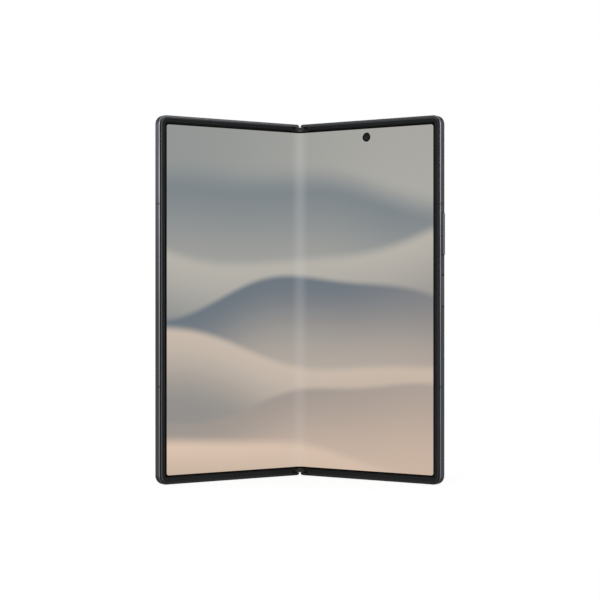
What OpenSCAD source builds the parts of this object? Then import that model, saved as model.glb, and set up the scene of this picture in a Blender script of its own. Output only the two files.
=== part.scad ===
// Book-style folding phone, half open and standing on its lower edge.
// X runs across the hinge, Y runs away from the reader and Z runs up the hinge line.
// Each half is drawn flat first: u outwards from the hinge line, d into its depth, w up.

/* [Body] */
// Height along the hinge line
body_h = 158.4; // [130:0.2:195]
// Width of each half, from the hinge line to its outer edge
half_w = 71.6; // [71:0.2:88]
// Thickness of each half
half_t = 4.2; // [4.1:0.01:5.4]
// Radius of the four outer corners
corner_r = 3.9; // [3.7:0.1:8]
// How far each half is turned up from flat
half_tilt = 32.5; // [0:0.5:80]
// Thickness of the frame's outer wall
wall_t = 1.4; // [1.2:0.1:2]
// Width of the front bevel, on the frame's front face
bevel_in = 0.38; // [0.3:0.01:0.6]
// Height of the front bevel, on the frame's outer wall
bevel_d = 0.95; // [0.5:0.01:1.1]
// Rounding along the back edge of the frame
back_round = 0.7; // [0.3:0.1:0.7]
// Thickness of the floor inside each frame
floor_t = 0.35; // [0.25:0.01:0.45]
// Thickness of both back glasses
glass_t = 0.45; // [0.35:0.01:0.55]
// Gap round a glass, a key or the card tray
seam_gap = 0.1; // [0.05:0.01:0.15]

/* [Screen] */
// Distance from the outer face to the start of the trim
trim_start = 0.85; // [0.8:0.01:1]
// Distance from the outer face to the inner edge of the trim
trim_w = 3.2; // [3:0.1:3.6]
// Height of the trim's ridge above the frame
trim_ridge = 0.12; // [0.05:0.01:0.15]
// Depth of the screen's surface below the frame
screen_sink = 0.3; // [0.25:0.01:0.36]
// Thickness of the folding screen
screen_t = 0.55; // [0.45:0.01:0.6]
// How far the screen reaches under the trim
screen_tuck = 0.6; // [0.4:0.1:0.8]
// Thickness of the steel plate behind each flat of the screen
plate_t = 0.15; // [0.12:0.01:0.2]
// Distance from the hinge line to the end of each flat
flat_start = 4.15; // [4.1:0.01:4.3]

/* [Hinge] */
// Distance of each turning axis from the hinge line
axis_u = 1.25; // [1.2:0.01:1.3]
// Depth of the turning axes
axis_d = 1.0; // [1.0:0.01:1.05]
// Gap from each half to the hinge line when the phone lies flat
meet_gap = 0.12; // [0.1:0.01:0.15]
// Outer radius of the spine round each axis
spine_r = 2.6; // [2.5:0.01:2.65]
// Wall of the spine
spine_wall = 0.35; // [0.28:0.01:0.42]
// Running gap between the spine and the halves
spine_gap = 0.12; // [0.1:0.01:0.15]
// Thickness of the frame's wall past each end of the spine
end_wall = 1.25; // [1.1:0.01:1.35]
// Half the width of the notch between the halves at each end
notch_half = 1.2; // [1:0.01:1.5]
// Running gap between that wall and the spine
end_gap = 0.15; // [0.1:0.01:0.2]
// Half the width of the cap at each end of the spine
cap_half_w = 2.2; // [2:0.05:2.4]
// Inner radius of the plain arc arms
arm_r = 1.5; // [1.45:0.01:1.6]
// Outer radius of all arc arms
arm_outer_r = 1.95; // [1.9:0.01:1.97]
// Thickness of each arm's tongue
tongue_t = 0.4; // [0.33:0.01:0.48]
// Length of each plain arm along the hinge
arm_len = 6; // [4:0.1:8]
// Distance of the outer hinge blocks from mid height
block_offset = 46; // [38:0.1:56]
// Running gap round the arms
slide_gap = 0.05; // [0.03:0.01:0.06]
// Width of the ribbon cable across the spine
flex_w = 6; // [4:0.1:8]
// Thickness of the ribbon cable
flex_t = 0.12; // [0.1:0.01:0.15]

/* [Gears] */
// Tooth module of the synchroniser
tooth_m = 0.11; // [0.1:0.001:0.112]
// Teeth of each small gear
gear_teeth = 10; // [10:1:10]
// Teeth on the full circle of a toothed arm
ring_teeth = 28; // [28:1:28]
// Face width of the gear row
gear_face = 2.8; // [2:0.1:4]
// Face width of each toothed arm
ring_face = 3; // [2:0.1:4]
// Radius of the gear shafts
shaft_r = 0.3; // [0.25:0.01:0.36]
// Radial clearance round the gear shafts
shaft_fit = 0.03; // [0.02:0.01:0.04]
// Play of each tooth flank at the pitch circle, in degrees
tooth_play = 0.8; // [0.5:0.1:1.5]

/* [Keys] */
// Length of the volume key
volume_len = 18.9; // [14:0.1:22]
// Height of the volume key's middle above mid height
volume_w = 28.2; // [27:0.1:30]
// How far the volume key stands out
volume_proud = 0.45; // [0.2:0.01:0.6]
// Bevel round the volume key
volume_bevel = 0.25; // [0.1:0.01:0.35]
// Length of the power key
power_len = 13.3; // [10:0.1:16]
// Height of the power key's middle above mid height
power_w = 3.95; // [2:0.01:6]
// Gap past each end of the power key
power_end_gap = 0.4; // [0.1:0.01:0.6]
// Width of both keys
key_t = 2.0; // [1.4:0.1:2.1]
// Travel of both keys
key_travel = 0.2; // [0.1:0.01:0.25]

/* [Ports] */
// Distance of the charging port from the hinge line
port_u = 35.4; // [33:0.1:42]
// Width of the charging port's opening
port_w = 8.34; // [8.34:0.01:8.6]
// Height of the charging port's opening
port_h = 2.56; // [2.5:0.01:2.6]
// Depth of the charging port
port_deep = 7.2; // [6.7:0.1:8.7]
// Wall of the port's shell
shell_t = 0.12; // [0.1:0.01:0.14]
// Width of the card tray's face
tray_face = 16; // [13.3:0.1:17]
// Distance from the hinge line to the middle of the card tray
tray_u = 18.5; // [18:0.1:18.6]
// Length of the card tray below its face
tray_len = 19; // [15.8:0.1:24]
// Thickness of the card tray
tray_t = 1.0; // [0.8:0.01:1.2]

/* [Cameras] */
// Distance of the rear cameras from the hinge line
cam_u = 59.2; // [57:0.1:60]
// Distance of the top rear camera from the top edge
cam_top = 15.2; // [14:0.1:20]
// Distance between rear cameras
cam_pitch = 17; // [14.1:0.1:18]
// Radius of the camera deck's ends
deck_r = 9; // [8.6:0.1:9.4]
// Height of the camera deck above the glass
deck_h = 1.5; // [1:0.1:2.2]
// Outer radius of each lens ring
ring_r = 6.4; // [5.6:0.1:7]
// Height of each lens ring above the deck
ring_h = 0.9; // [0.5:0.01:1.5]
// Radius of each rear lens glass
lens_r = 4.9; // [4.1:0.1:5.2]
// Distance of the inner camera from the hinge line
selfie_u = 34.9; // [30:0.1:38]
// Distance of the inner camera from the top edge
selfie_top = 7.5; // [6.3:0.1:9]
// Radius of the inner camera's hole in the screen
selfie_r = 1.95; // [1.6:0.01:2.4]

/* [Bands] */
// Width of the plastic bands in the frame
band_w = 1.1; // [0.8:0.1:1.5]
// Height of the upper side band above mid height
band_high = 41.0; // [40:0.1:46]
// Depth of the lower side band below mid height
band_low = 37.2; // [30:0.1:44]
// Distance of the outer end bands from the hinge line
band_far_u = 51.9; // [51:0.1:53]
// Distance of the inner end bands from the hinge line
band_near_u = 27.9; // [27.8:0.1:29]

/* [Inside] */
// Distance from the hinge line to the batteries and boards
bay_u = 10.5; // [10.2:0.1:12]
// Height of the lower bay below the batteries
bay_w = 17; // [13.5:0.1:21]
// Height of the top of the right battery above mid height
cell_top = 16; // [12:0.1:20]
// Height of the top of the left battery above mid height
cover_cell_top = 30; // [25:0.1:36]
// Gap between an inner piece and its seat
seat_gap = 0.05; // [0.03:0.01:0.08]

/* [Hidden] */

$fn = 48;
far = 20;
graphite = "#3c3e42";
black = "#17181a";
steel = "#b8bcc2";
screw_steel = "#8d9096";
gear_steel = "#a8adb5";
gear_bronze = "#c9a24a";
band_grey = "#55575c";
cell_grey = "#2b2d30";
screen_grey = "#8a9096";
board_green = "#1f5a3c";
copper = "#b87333";

mid_w = body_h / 2;
glass_d = half_t - glass_t;
screen_back = screen_sink + screen_t;
floor_d = screen_back + plate_t;
floor_back = floor_d + floor_t;
inside_d = floor_back + seat_gap;
inside_back = glass_d - 3 * seat_gap;
body_start = flat_start + seam_gap;
hollow_u = half_w - wall_t;
sheet_in = trim_w - screen_tuck;
ledge_d = screen_sink + seat_gap;
ledge_in = bevel_in + seat_gap;
bevel_mid = [bevel_in, bevel_d] * (1 - cos(45));
glass_in = back_round + 0.25;
rail_u = body_start + 0.85;

cavity_r = spine_r + spine_gap;
meet_r = axis_u - meet_gap;
spine_end = end_wall + end_gap;
spine_back = axis_d + spine_r;
inner_r = spine_r - spine_wall;
block_r = inner_r - slide_gap;
block_half_w = axis_u + 1.35;
arm_low = 0.3;
side_gap = 0.1;
block_half = arm_low + arm_len + side_gap + 1.8;
block_ws = [mid_w - block_offset, mid_w + block_offset];
block_screw_in = 0.9;
block_screw_deep = 1.4;
tongue_d = floor_d + slide_gap;
flange_u = rail_u + 0.6;
flange_end = flange_u + 3.7;
flange_d = floor_back + 0.02;
flange_t = 0.6;
flange_over = 2;
arm_tip_d = 0.28;
screw_r = 0.4;
screw_head_r = 0.75;
screw_head_t = 0.3;
flex_low = mid_w + 20;

// Middle of the whole outline, front to back, brought to Y = 0
front_reach = (half_w - axis_u) * sin(half_tilt) + axis_d * cos(half_tilt);
back_reach = meet_r * sin(half_tilt) + (half_t - axis_d) * cos(half_tilt);
shift_y = (front_reach - back_reach) / 2 - axis_d;

pressure_angle = 20;
root_share = 1.25;
gear_r = tooth_m * gear_teeth / 2;
ring_pitch_r = tooth_m * ring_teeth / 2;
gear_tip = gear_r + tooth_m;
pinion_x = 3 * gear_r;
idler_x = gear_r;
gear_d = axis_d + sqrt(pow(ring_pitch_r - gear_r, 2) - pow(pinion_x - axis_u, 2));
mesh_angle = atan2(gear_d - axis_d, pinion_x - axis_u);
gear_turn = half_tilt * ring_teeth / gear_teeth;
tooth_step = 360 / gear_teeth;
ring_step = 360 / ring_teeth;
bearing_t = 0.6;
bearing_w = gear_face / 2 + side_gap + bearing_t;
ring_low = bearing_w + side_gap;
ring_high = ring_low + ring_face;
gear_block_half = ring_high + side_gap + bearing_t + 2;
// Heights between which each arm of the right half lies
arm_spans = [for (w = block_ws) [w + arm_low, w + arm_low + arm_len],
    [mid_w + ring_low, mid_w + ring_high]];
clip_count = 3;
clip_step = 1.5;
clip_t = 1.2;
clip_w = gear_block_half + 0.2;

key_d = floor_back + seam_gap + seat_gap + key_t / 2;
flange_gap = key_travel + 0.02;
key_flange_t = 0.38;
key_flange_over = 0.25;
key_sunk = 0.03;
power_bevel = 0.12;
rib_u = hollow_u - 2.2;
rib_t = 0.5;
port_d = screen_back + seat_gap + shell_t + port_h / 2;
slot_count = 4;
slot_pitch = 3.2;
slot_len = 2.4;
slot_t = 1.2;
mic_r = 0.5;
tray_d = (floor_back + glass_d) / 2 - 0.2;
tray_face_t = 2.0;
tray_w = tray_face - 3;
tray_top = body_h - wall_t;
tray_fit = 0.12;
pin_hole_r = 0.45;
board_t = 0.6;
board_back = inside_d + board_t;
cover_t = 0.4;
cover_back = glass_d - cover_t - 3 * seat_gap;
deck_top = half_t + deck_h;
cam_ws = [for (i = [0:2]) body_h - cam_top - i * cam_pitch];
selfie_w = body_h - selfie_top;
cover_cam = [selfie_u + 1, body_h - 9.5];
flash_u = cam_u - 13.4;
flash_w = body_h - cam_top - 2;
flash_r = 1.9;
lens_bay_u = cam_u - 11;

// Outline of the frame's wall: distance in from the outer face, then depth
outer_edge = [[bevel_in, 0], bevel_mid, [0, bevel_d],
    [0, half_t - back_round], [back_round * 0.3, half_t - back_round * 0.3],
    [back_round, half_t]];
rail_outline = concat(outer_edge, [[glass_in, half_t], [glass_in, glass_d],
    [wall_t, glass_d], [wall_t, ledge_d], [ledge_in, ledge_d], [ledge_in, 0]]);
// The thin wall that runs on past the end of the spine
end_outline = concat(outer_edge, [[end_wall, half_t], [end_wall, 0]]);
// Outline of the trim round the screen, in the same terms
trim_outline = [[trim_start, screen_sink], [trim_start, 0],
    [trim_start + 0.1, -trim_ridge], [trim_start + 0.55, -trim_ridge],
    [trim_start + 0.75, 0.02], [trim_w - 0.4, 0.1], [trim_w, 0.2], [trim_w, screen_sink]];

// Places a piece of the right half at the tilt of that half
module right_side() {
    translate([axis_u, axis_d + shift_y, 0]) rotate([0, 0, -half_tilt])
        translate([-axis_u, -axis_d, 0]) children();
}

// The left half is drawn with u outwards as well, then mirrored
module left_side() {
    mirror([1, 0, 0]) right_side() children();
}

module in_spine() {
    translate([0, shift_y, 0]) children();
}

// Turns what is drawn for the right half upside down, for the left half
module flipped() {
    translate([0, 0, body_h]) mirror([0, 0, 1]) children();
}

// The same shape at the lower end and, mirrored, at the upper end
module both_ends() {
    children();
    flipped() children();
}

// A flat outline in u and w, between two depths
module plate(from_d, to_d) {
    rotate([90, 0, 0]) translate([0, 0, -to_d]) linear_extrude(to_d - from_d) children();
}

// A section in u and d, run along the hinge line between two heights
module run(from_w, to_w) {
    translate([0, 0, from_w]) linear_extrude(to_w - from_w) children();
}

// An outline in w and d, run outwards between two distances from the hinge line
module reach(from_u, to_u) {
    translate([to_u, 0, 0]) rotate([0, -90, 0]) linear_extrude(to_u - from_u) children();
}

// A section in radius and d, turned about an axis along the depth
module spin(u, w) {
    translate([u, 0, w]) rotate([90, 0, 0]) rotate_extrude() mirror([0, 1]) children();
}

// Pin or bore along the depth
module peg(u, w, r, from_d, to_d) {
    plate(from_d, to_d) translate([u, w]) circle(r);
}

// A box given by its ranges in u, d and w
module block(u, d, w) {
    translate([u[0], d[0], w[0]]) cube([u[1] - u[0], d[1] - d[0], w[1] - w[0]]);
}

// Sweeps a section round the three open edges of a half
module around(start_u) {
    straight = half_w - corner_r;
    translate([half_w, 0, corner_r]) mirror([1, 0, 0])
        linear_extrude(body_h - 2 * corner_r) children();
    both_ends() {
        reach(start_u, straight) children();
        translate([straight, 0, corner_r]) rotate([90, 0, 0]) rotate([0, 0, -90])
            rotate_extrude(angle = 90) translate([corner_r, 0]) rotate(180) children();
    }
}

// Outline of a half, set in all round, with its two outer corners rounded
module leaf(start_u, inset) {
    r = max(corner_r - inset, 0.3);
    edge = half_w - inset;
    tall = body_h - 2 * inset;
    translate([start_u, inset]) square([edge - r - start_u, tall]);
    translate([start_u, inset + r]) square([edge - start_u, tall - 2 * r]);
    for (w = [inset + r, inset + tall - r]) translate([edge - r, w]) circle(r);
}

// Rectangle with rounded corners, from its lower corner
module round_rect(size, r) {
    translate([r, 0]) square([size[0] - 2 * r, size[1]]);
    translate([0, r]) square([size[0], size[1] - 2 * r]);
    for (x = [r, size[0] - r], y = [r, size[1] - r]) translate([x, y]) circle(r);
}

// Slot with round ends, about its middle
module stadium(length, height) {
    square([length - height, height], center = true);
    for (side = [-1, 1]) translate([side * (length - height) / 2, 0]) circle(height / 2);
}

// Section of the spine at a distance r from the two axes
module spine_section(r) {
    intersection() {
        union() {
            for (side = [-1, 1]) translate([side * axis_u, axis_d]) circle(r);
            translate([-axis_u, 0]) square([2 * axis_u, axis_d + r]);
        }
        translate([-far / 2, axis_d]) square(far);
    }
}

// Shell of the spine, notched where the arms' tongues lie when the phone is flat
module spine_cover() {
    color(graphite) in_spine() difference() {
        run(spine_end, body_h - spine_end) difference() {
            spine_section(spine_r);
            spine_section(inner_r);
        }
        arm_notches();
        mirror([1, 0, 0]) flipped() arm_notches();
    }
}

module arm_notches() {
    for (span = arm_spans) block([axis_u, axis_u + spine_r + 1],
        [0, tongue_d + tongue_t + 2 * slide_gap], [span[0] - side_gap, span[1] + side_gap]);
}

// Each cap closes one end of the spine, and its nose shows between the halves
module spine_caps() {
    cap_top = sheet_in - seat_gap;
    color(black) in_spine() both_ends() run(spine_end, cap_top) {
        spine_section(block_r);
        translate([-cap_half_w, screen_sink + 0.1]) round_rect([2 * cap_half_w, 2], 0.2);
    }
}

// Outline of a block that fits inside the spine
module block_section() {
    intersection() {
        spine_section(block_r);
        translate([-block_half_w, 0]) square([2 * block_half_w, far]);
    }
}

// Screws of a block, one near each end, with room round each by the given gap
module block_screw_set(half_len, gap) {
    seat = spine_back - block_screw_deep;
    for (end = [-1, 1]) translate([0, 0, end * (half_len - block_screw_in)]) {
        peg(0, 0, screw_r + gap, seat, axis_d + inner_r - gap / 2);
        peg(0, 0, screw_head_r + gap, gap > 0 ? 0 : seat - screw_head_t, seat);
    }
}

// Blocks that guide the plain arms, each with a ring groove round both axes
module hinge_blocks() {
    color(steel) in_spine() for (w = block_ws) translate([0, 0, w]) difference() {
        run(-block_half, block_half) block_section();
        for (turn = [0, 180]) rotate([0, turn, 0])
            run(arm_low - side_gap, arm_low + arm_len + side_gap)
                translate([axis_u, axis_d]) difference() {
                    circle(arm_outer_r + slide_gap);
                    circle(arm_r - slide_gap);
                }
        block_screw_set(block_half, slide_gap);
    }
}

// Half the angle that a tooth takes up at a radius, for an involute flank
function involute(angle) = tan(angle) * 180 / PI - angle;
function flank_angle(teeth, pitch_r, r, play) =
    let (base_r = pitch_r * cos(pressure_angle))
    90 / teeth - play + involute(pressure_angle) - involute(acos(min(1, base_r / r)));

// Points of a full gear outline with a tooth at the angle phase
function gear_points(teeth, pitch_r, root_r, tip_r, play, phase) =
    let (base_r = max(root_r, pitch_r * cos(pressure_angle)), radii = [root_r, base_r, pitch_r, tip_r])
    [for (i = [0:teeth - 1], k = [0:7])
        let (low = k < 4, r = radii[low ? k : 7 - k],
             half = flank_angle(teeth, pitch_r, max(r, base_r), play),
             angle = phase + i * 360 / teeth + (low ? -half : half))
        [r * cos(angle), r * sin(angle)]];

// Small gear of the row, with a tooth at the angle phase
module small_gear(phase) {
    polygon(gear_points(gear_teeth, gear_r, gear_r - root_share * tooth_m, gear_tip,
        tooth_play, phase));
}

module shaft(from_w, to_w) {
    run(from_w, to_w) circle(shaft_r);
}

// Places one wheel of the row, turned to the tilt of the halves
module wheel_at(x, turn) {
    in_spine() translate([x, gear_d, mid_w]) rotate([0, 0, turn]) children();
}

// Pinion: meshes with its toothed arm above the row and with its idler in the row
module pinion(phase) {
    run(-gear_face / 2, gear_face / 2) small_gear(phase);
    run(ring_low, ring_high) small_gear(phase);
    shaft(-bearing_w, clip_w + clip_count * clip_step + 0.2);
}

module idler(phase) {
    run(-gear_face / 2, gear_face / 2) small_gear(phase);
    shaft(-bearing_w, bearing_w);
}

module pinion_right() {
    color(gear_bronze) wheel_at(pinion_x, -gear_turn) pinion(mesh_angle);
}

module idler_right() {
    color(gear_steel) wheel_at(idler_x, gear_turn) idler(180 + tooth_step / 2 - mesh_angle);
}

module idler_left() {
    color(gear_steel) wheel_at(-idler_x, -gear_turn) idler(mesh_angle);
}

module pinion_left() {
    color(gear_bronze) wheel_at(-pinion_x, gear_turn) mirror([0, 0, 1])
        pinion(180 + tooth_step / 2 - mesh_angle);
}

// Housing of the synchroniser: one room for the row and one for each toothed arm
module gear_block() {
    row_half = pinion_x + gear_tip + side_gap;
    row_room = gear_face / 2 + side_gap;
    hole_r = shaft_r + shaft_fit;
    color(steel) in_spine() translate([0, 0, mid_w]) difference() {
        run(-gear_block_half, gear_block_half) block_section();
        run(-row_room, row_room)
            translate([-row_half, 0]) square([2 * row_half, gear_d + gear_tip + side_gap]);
        for (turn = [0, 180]) rotate([0, turn, 0]) {
            run(ring_low - side_gap, ring_high + side_gap) translate([axis_u, axis_d])
                circle(arm_outer_r + slide_gap);
            run(-bearing_w, far) translate([pinion_x, gear_d]) circle(hole_r);
            run(-bearing_w, bearing_w) translate([idler_x, gear_d]) circle(hole_r);
        }
        block_screw_set(gear_block_half, slide_gap);
    }
}

// Spring clips that grip both pinion shafts and hold the halves at any angle
module friction_clips() {
    clip_r = 0.62;
    foot_half = 0.3;
    color(steel) in_spine() translate([0, 0, mid_w])
        for (turn = [0, 180], i = [0:clip_count - 1]) rotate([0, turn, 0])
            run(clip_w + i * clip_step, clip_w + i * clip_step + clip_t)
                translate([pinion_x, gear_d]) difference() {
                    union() {
                        circle(clip_r);
                        translate([-foot_half, 0])
                            square([2 * foot_half, axis_d + block_r - gear_d - 0.08]);
                    }
                    circle(shaft_r + shaft_fit);
                }
}

module block_screws() {
    color(screw_steel) in_spine() {
        for (w = block_ws) translate([0, 0, w]) block_screw_set(block_half, 0);
        translate([0, 0, mid_w]) block_screw_set(gear_block_half, 0);
    }
}

// Point of a half, given flat, at the tilt of that half
function turned(u, d, tilt) = [
    axis_u + (u - axis_u) * cos(tilt) + (d - axis_d) * sin(tilt),
    axis_d - (u - axis_u) * sin(tilt) + (d - axis_d) * cos(tilt)];

// Depth of the bent screen at a share of its way out; the tilt eases in from the middle
function ease(t) = t * t * (3 - 2 * t);
function fold_point(share, d) =
    let (out = abs(share), tilt = half_tilt * (1 - ease(1 - out)),
         x = out * turned(flat_start, d, half_tilt)[0],
         along = ((x - axis_u) - (d - axis_d) * sin(tilt)) / cos(tilt))
    [sign(share) * x, axis_d - along * sin(tilt) + (d - axis_d) * cos(tilt)];

// The bend of the folding screen, between its two flats
module display_fold() {
    steps = 10;
    front = [for (i = [-steps:steps]) fold_point(i / steps, screen_sink)];
    back = [for (i = [steps:-1:-steps]) fold_point(i / steps, screen_back)];
    color(screen_grey) in_spine() run(sheet_in, body_h - sheet_in) polygon(concat(front, back));
}

// Ribbon cable from half to half, dipping into the spine
function bezier(p, t) = pow(1 - t, 3) * p[0] + 3 * t * pow(1 - t, 2) * p[1]
    + 3 * t * t * (1 - t) * p[2] + pow(t, 3) * p[3];
function unit(v) = v / norm(v);
function side_step(path, i) =
    let (step = unit(path[min(i + 1, len(path) - 1)] - path[max(i - 1, 0)]))
    [-step[1], step[0]] * flex_t / 2;

module hinge_flex() {
    flex_d = floor_back + 0.15;
    entry = turned(flat_start, flex_d, half_tilt);
    lead = [-cos(half_tilt), sin(half_tilt)] * 1.2;
    dip = axis_d + inner_r - 0.45;
    bend = [entry, entry + lead, [1.8, dip], [0, dip]];
    half_path = concat([turned(bay_u - 1, flex_d, half_tilt)],
        [for (i = [0:8]) bezier(bend, i / 8)]);
    mirrored = [for (i = [len(half_path) - 2:-1:0]) [-half_path[i][0], half_path[i][1]]];
    path = concat(half_path, mirrored);
    count = len(path) - 1;
    outline = concat([for (i = [0:count]) path[i] + side_step(path, i)],
        [for (i = [count:-1:0]) path[i] - side_step(path, i)]);
    color(copper) in_spine() run(flex_low, flex_low + flex_w) polygon(outline);
}

// Parts of the ring that stay behind the screen, out to the tongue and to the tip
module arm_limits() {
    translate([axis_u, tongue_d]) square(far);
    translate([axis_u - far, axis_d + arm_tip_d]) square([far, far]);
}

// One arc arm: its ring runs in the block, its tongue and flange hold the frame
module arc_arm(span, teeth) {
    run(span[0], span[1]) {
        intersection() {
            translate([axis_u, axis_d]) difference() {
                circle(arm_outer_r);
                if (len(teeth) > 0) polygon(teeth);
                if (len(teeth) == 0) circle(arm_r);
            }
            arm_limits();
        }
        translate([axis_u + arm_outer_r - 0.2, tongue_d])
            square([flange_end - axis_u - arm_outer_r + 0.2, tongue_t]);
    }
    difference() {
        block([flange_u, flange_end], [flange_d, flange_d + flange_t],
            [span[0] - flange_over, span[1] + flange_over]);
        arm_screw_set(span, seat_gap);
    }
}

// Two screws through an arm's flange into the floor of the frame
module arm_screw_set(span, gap) {
    u = (flange_u + flange_end) / 2;
    for (w = [span[0] - flange_over / 2, span[1] + flange_over / 2]) {
        peg(u, w, screw_r + gap, floor_d, flange_d + flange_t + gap);
        if (gap == 0) peg(u, w, screw_head_r, flange_d + flange_t,
            flange_d + flange_t + screw_head_t);
    }
}

// The three arms of one half; the toothed one has a tooth space at the angle phase
module arm_set(phase) {
    teeth = gear_points(ring_teeth, ring_pitch_r, ring_pitch_r - tooth_m,
        ring_pitch_r + root_share * tooth_m, -tooth_play * gear_teeth / ring_teeth, phase);
    arc_arm(arm_spans[0], []);
    arc_arm(arm_spans[1], []);
    arc_arm(arm_spans[2], teeth);
}

module arms_right() {
    color(steel) right_side() arm_set(mesh_angle);
}

module arms_left() {
    color(steel) left_side() flipped() arm_set(mesh_angle - ring_step / 2);
}

module arm_screws_right() {
    color(screw_steel) right_side() for (span = arm_spans) arm_screw_set(span, 0);
}

module arm_screws_left() {
    color(screw_steel) left_side() flipped() for (span = arm_spans) arm_screw_set(span, 0);
}

// Room that the arms and their screws need in a frame
module arm_rooms() {
    for (span = arm_spans) {
        block([axis_u, flange_end + side_gap], [0, tongue_d + tongue_t + slide_gap],
            [span[0] - side_gap, span[1] + side_gap]);
        arm_screw_set(span, 0.02);
    }
}

// What a half may fill beside the hinge line without meeting the other half
module swing_section() {
    translate([meet_gap, axis_d]) square([far, far]);
    translate([axis_u, -far / 2]) square(far);
    translate([axis_u, axis_d]) circle(meet_r);
}

// Thin walls past the ends of the spine, cut back to a notch at the hinge line
module end_walls() {
    round_off = 0.3;
    notch_low = notch_half - 0.65;
    both_ends() intersection() {
        reach(meet_gap, body_start) polygon(end_outline);
        run(-1, end_wall + 1) swing_section();
        plate(-1, half_t + 1) polygon([[notch_half + 2 * round_off, 0],
            [notch_half, round_off], [notch_low, end_wall], [notch_low, far],
            [far, far], [far, 0]]);
    }
}

// Rail along the hinge: hollowed for the spine, with a thin lip behind it
module hinge_rail() {
    run(end_wall, body_h - end_wall) difference() {
        union() {
            translate([meet_gap, floor_back]) square([rail_u - meet_gap, half_t - floor_back]);
            translate([body_start, floor_d]) square([rail_u - body_start, half_t - floor_d]);
        }
        translate([axis_u, axis_d]) circle(cavity_r);
        square([axis_u, glass_d]);
    }
}

// Slots of the plastic bands, or with the rail's outline the bands themselves
module side_bands() {
    for (w = [mid_w + band_high, mid_w - band_low])
        translate([half_w, 0, w - band_w / 2]) mirror([1, 0, 0])
            linear_extrude(band_w) children();
}

module end_bands() {
    both_ends() for (u = [band_near_u, band_far_u]) reach(u - band_w / 2, u + band_w / 2)
        children();
}

module band_set() {
    side_bands() polygon(rail_outline);
    end_bands() polygon(rail_outline);
}

// What both frames have in common
module frame_shell() {
    difference() {
        union() {
            around(body_start) polygon(rail_outline);
            plate(floor_d, floor_back) leaf(body_start, 1);
            hinge_rail();
            end_walls();
        }
        side_bands() translate([-1, -1]) square([wall_t + 1, half_t + 2]);
        end_bands() translate([-1, -1]) square([wall_t + 1, half_t + 2]);
        block([axis_u, bay_u], [floor_back, floor_back + 0.5],
            [flex_low - 0.3, flex_low + flex_w + 0.3]);
    }
}

// A key in its slot: round-ended plate with a bevelled edge, and a longer flange inside
module key(middle, length, proud, bevel, end_gap) {
    back = hollow_u - flange_gap - key_flange_t;
    face = half_w + proud;
    r = key_t / 2;
    half_run = length / 2 - r;
    section = [[0, back], [r, back], [r, face - bevel], [r - bevel, face], [0, face]];
    translate([0, key_d, mid_w + middle]) {
        for (end = [-1, 1]) translate([0, 0, end * half_run]) rotate([0, 90, 0])
            rotate_extrude() polygon(section);
        run(-half_run, half_run) for (side = [-1, 1])
            polygon([for (p = section) [p[1], side * p[0]]]);
        reach(back, hollow_u - flange_gap)
            stadium(length + 2 * (end_gap + key_flange_over), key_t);
    }
}

module key_slot(middle, length, end_gap) {
    translate([0, key_d, mid_w + middle]) reach(hollow_u - 1, half_w + 1)
        stadium(length + 2 * end_gap, key_t + 2 * seam_gap);
}

module volume_key() {
    color("#585a60") right_side()
        key(volume_w, volume_len, volume_proud, volume_bevel, seam_gap);
}

module power_key() {
    color("#303236") right_side()
        key(power_w, power_len, -key_sunk, power_bevel, power_end_gap);
}

// Domes behind the keys: two for the volume key and one for the power key
module key_switches() {
    front = hollow_u - flange_gap - key_flange_t - key_travel - 0.03;
    dome_t = 0.25;
    spots = [power_w, volume_w - volume_len / 3, volume_w + volume_len / 3];
    color(steel) right_side() for (w = spots) translate([0, key_d, mid_w + w]) {
        reach(rib_u + rib_t, front - dome_t) square([2.6, 2], center = true);
        reach(front - dome_t, front) circle(0.8);
    }
}

// Openings of the right frame's lower edge: port, loudspeaker slots and microphone
module lower_openings() {
    run(-1, port_deep + 0.5) translate([port_u, port_d])
        stadium(port_w + 2 * shell_t + seam_gap, port_h + 2 * shell_t + seam_gap);
    for (i = [0:slot_count - 1]) run(-1, wall_t + 1)
        translate([band_far_u + 3 + slot_pitch * i, key_d]) stadium(slot_len, slot_t);
    run(-1, wall_t + 1) translate([port_u + 9, key_d]) circle(mic_r);
}

module tray_opening() {
    translate([tray_u, tray_d]) stadium(tray_face + 2 * seam_gap, tray_face_t + 2 * seam_gap);
}

module frame_right() {
    color(graphite) right_side() difference() {
        union() {
            frame_shell();
            block([rib_u, rib_u + rib_t], [floor_d, inside_back],
                [mid_w + power_w - 10, mid_w + volume_w + volume_len / 2 + 2]);
        }
        arm_rooms();
        key_slot(volume_w, volume_len, seam_gap);
        key_slot(power_w, power_len, power_end_gap);
        lower_openings();
        peg(selfie_u, selfie_w, selfie_r + seat_gap, 0, floor_back + 1);
    }
}

// Slot of the earpiece, opening of the card tray and microphone
module frame_left() {
    color(graphite) left_side() difference() {
        frame_shell();
        flipped() arm_rooms();
        run(tray_top - 1, body_h + 1) {
            tray_opening();
            translate([cover_cam[0], key_d]) stadium(8, 0.6);
        }
        run(-1, wall_t + 1) translate([port_u, key_d]) circle(mic_r);
    }
}

module bezel() {
    around(body_start + seat_gap) polygon(trim_outline);
}

module bezel_right() {
    color(black) right_side() bezel();
}

module bezel_left() {
    color(black) left_side() bezel();
}

module bands_right() {
    color(band_grey) right_side() band_set();
}

module bands_left() {
    color(band_grey) left_side() difference() {
        band_set();
        run(tray_top - 1, body_h + 1) tray_opening();
    }
}

module support_plate() {
    plate(screen_back, floor_d) leaf(body_start + 0.15, sheet_in);
}

// Steel plate behind the right flat, cut away for the port and the inner camera
module support_plate_right() {
    color(steel) right_side() difference() {
        support_plate();
        peg(selfie_u, selfie_w, selfie_r + seat_gap, 0, half_t);
        block([port_u - port_w / 2 - 0.4, port_u + port_w / 2 + 0.4], [0, half_t],
            [0, port_deep + 0.6]);
    }
}

module support_plate_left() {
    color(steel) left_side() support_plate();
}

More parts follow.
